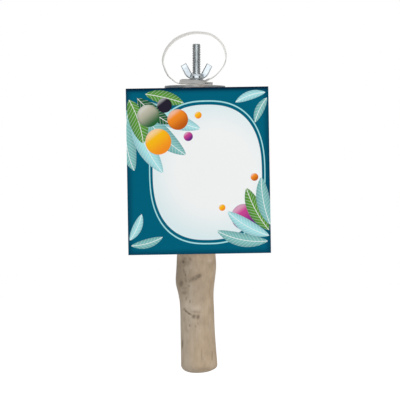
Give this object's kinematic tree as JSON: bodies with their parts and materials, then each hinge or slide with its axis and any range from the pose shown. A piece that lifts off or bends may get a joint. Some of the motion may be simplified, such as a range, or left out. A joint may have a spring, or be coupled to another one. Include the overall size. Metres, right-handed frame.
{
  "type": "bird perch",
  "caption": "Short hardwood branch perch on a threaded stud, clamped to cage wires by wide washers and a wing nut, with a folded shelf card and a plastic hang strap.",
  "frame": {"origin": "on the stud's axis at the lower washer's upper, clamping face", "axes": "+Z along the stud, away from the branch; -Y out of the card's front; +X to the right as the card is read"},
  "size_m": [0.1045, 0.0466, 0.2543],
  "materials": {
    "peeled_wood": "peeled, sanded smooth, unvarnished",
    "zinc_thread": "bright zinc plate",
    "zinc_washer": "dull zinc plate",
    "zinc_casting": "bright zinc plate",
    "printed_card": "satin print on white board",
    "milky_plastic": "milky, slightly translucent"
  },
  "bodies": {
    "perch": {"branch": "peeled_wood", "hanger_bolt": "zinc_thread"},
    "lower_washer": {"lower_washer": "zinc_washer"},
    "card": {"card_top_panel": "printed_card"},
    "card_front": {"card_front_panel": "printed_card"},
    "card_back": {"card_back_panel": "printed_card"},
    "upper_washer": {"upper_washer": "zinc_washer"},
    "strap": {"hang_strap": "milky_plastic"},
    "wing_nut": {"wing_nut": "zinc_casting"}
  },
  "joints": [
    {"name": "lower_washer_spin", "type": "hinge", "parent": "perch", "child": "lower_washer", "pos_m": [0, 0, 0], "axis": [0, 0, 1], "continuous": true},
    {"name": "card_swivel", "type": "hinge", "parent": "perch", "child": "card", "pos_m": [0, 0, 0], "axis": [0, 0, 1], "continuous": true},
    {"name": "card_front_fold", "type": "hinge", "parent": "card", "child": "card_front", "pos_m": [0, -0.023, 0.00025], "axis": [-1, 0, 0], "range_deg": [-3, 170]},
    {"name": "card_back_fold", "type": "hinge", "parent": "card", "child": "card_back", "pos_m": [0, 0.023, 0.00025], "axis": [1, 0, 0], "range_deg": [-3, 170]},
    {"name": "clamp_travel", "type": "slide", "parent": "perch", "child": "upper_washer", "axis": [0, 0, 1], "range_m": [0, 0.01904]},
    {"name": "strap_swivel", "type": "hinge", "parent": "upper_washer", "child": "strap", "pos_m": [0, 0, 0.0038], "axis": [0, 0, 1], "continuous": true},
    {"name": "wing_nut_turn", "type": "hinge", "parent": "upper_washer", "child": "wing_nut", "pos_m": [0, 0, 0.0073], "axis": [0, 0, 1], "range_deg": [0, 5400]}
  ],
  "couplings": [
    {"joint": "wing_nut_turn", "follows": "clamp_travel", "rad_per_m": 4947.4}
  ]
}
